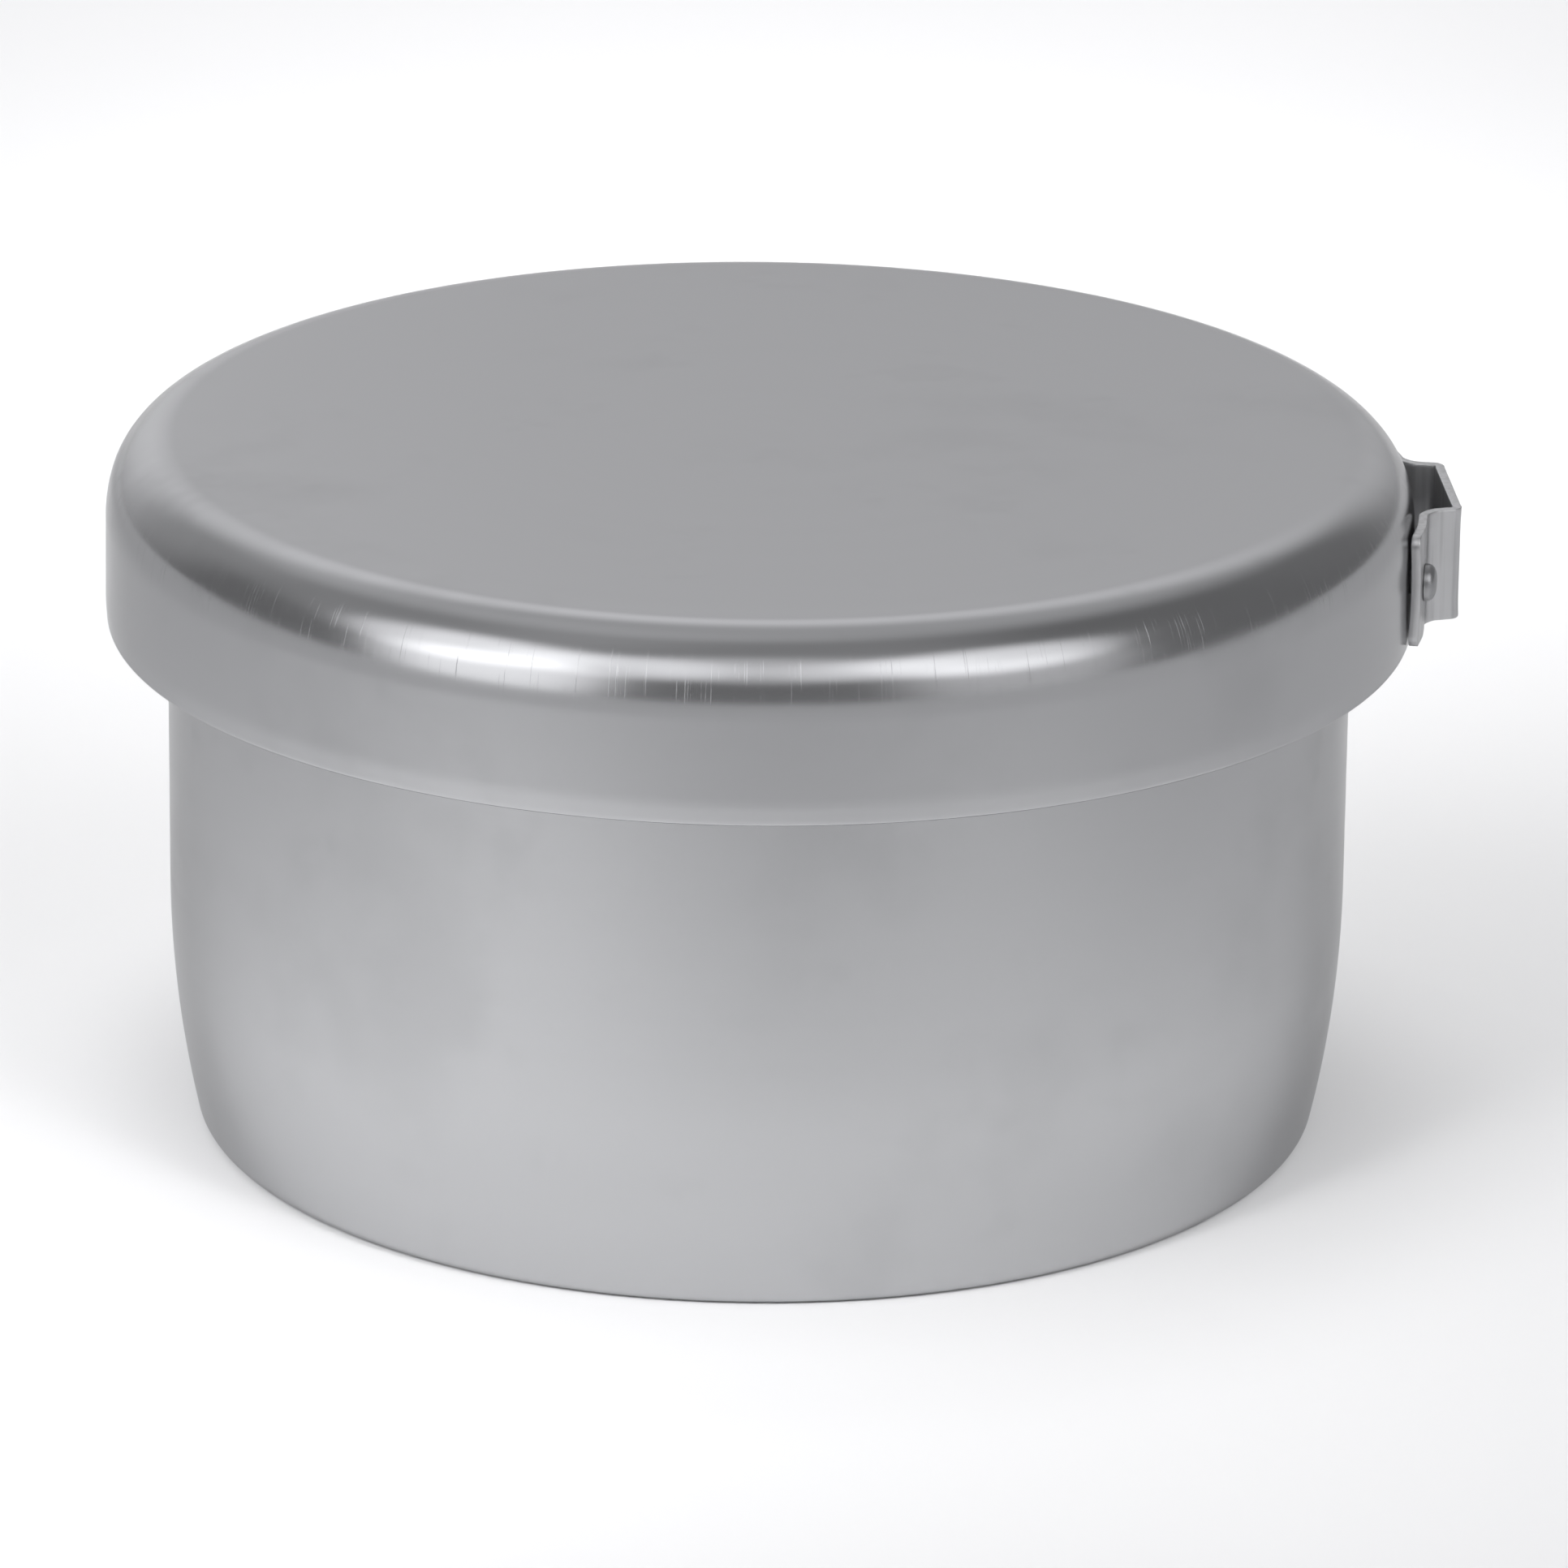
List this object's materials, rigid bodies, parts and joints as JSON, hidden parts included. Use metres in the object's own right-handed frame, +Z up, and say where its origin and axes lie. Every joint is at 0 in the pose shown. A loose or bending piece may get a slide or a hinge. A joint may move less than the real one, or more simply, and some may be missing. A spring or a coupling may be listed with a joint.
{
  "type": "candle tin",
  "caption": "Round drawn aluminium tin with a deep slip-on lid that overhangs the wall, and a bent strip socket for a handle riveted to the lid's skirt.",
  "frame": {"origin": "centre of the tin's flat base, on the surface that it stands on", "axes": "+Z up along the tin's axis, +X out through the middle of the handle socket"},
  "size_m": [0.1655, 0.1604, 0.0871],
  "materials": {
    "tin_aluminium": "satin, faint turning lines round the wall",
    "lid_aluminium": "satin, fine drawing scratches across the corner",
    "socket_aluminium": "satin mill finish, bright sheared edges",
    "rivet_aluminium": "dull, pressed"
  },
  "bodies": {
    "tin": {"tin_body": "tin_aluminium"},
    "lid": {"lid": "lid_aluminium", "handle_socket": "socket_aluminium", "rivet_near": "rivet_aluminium", "rivet_far": "rivet_aluminium"}
  },
  "joints": [
    {"name": "lid_lift", "type": "slide", "parent": "tin", "child": "lid", "axis": [0, 0, 1], "range_m": [0, 0.1]}
  ]
}
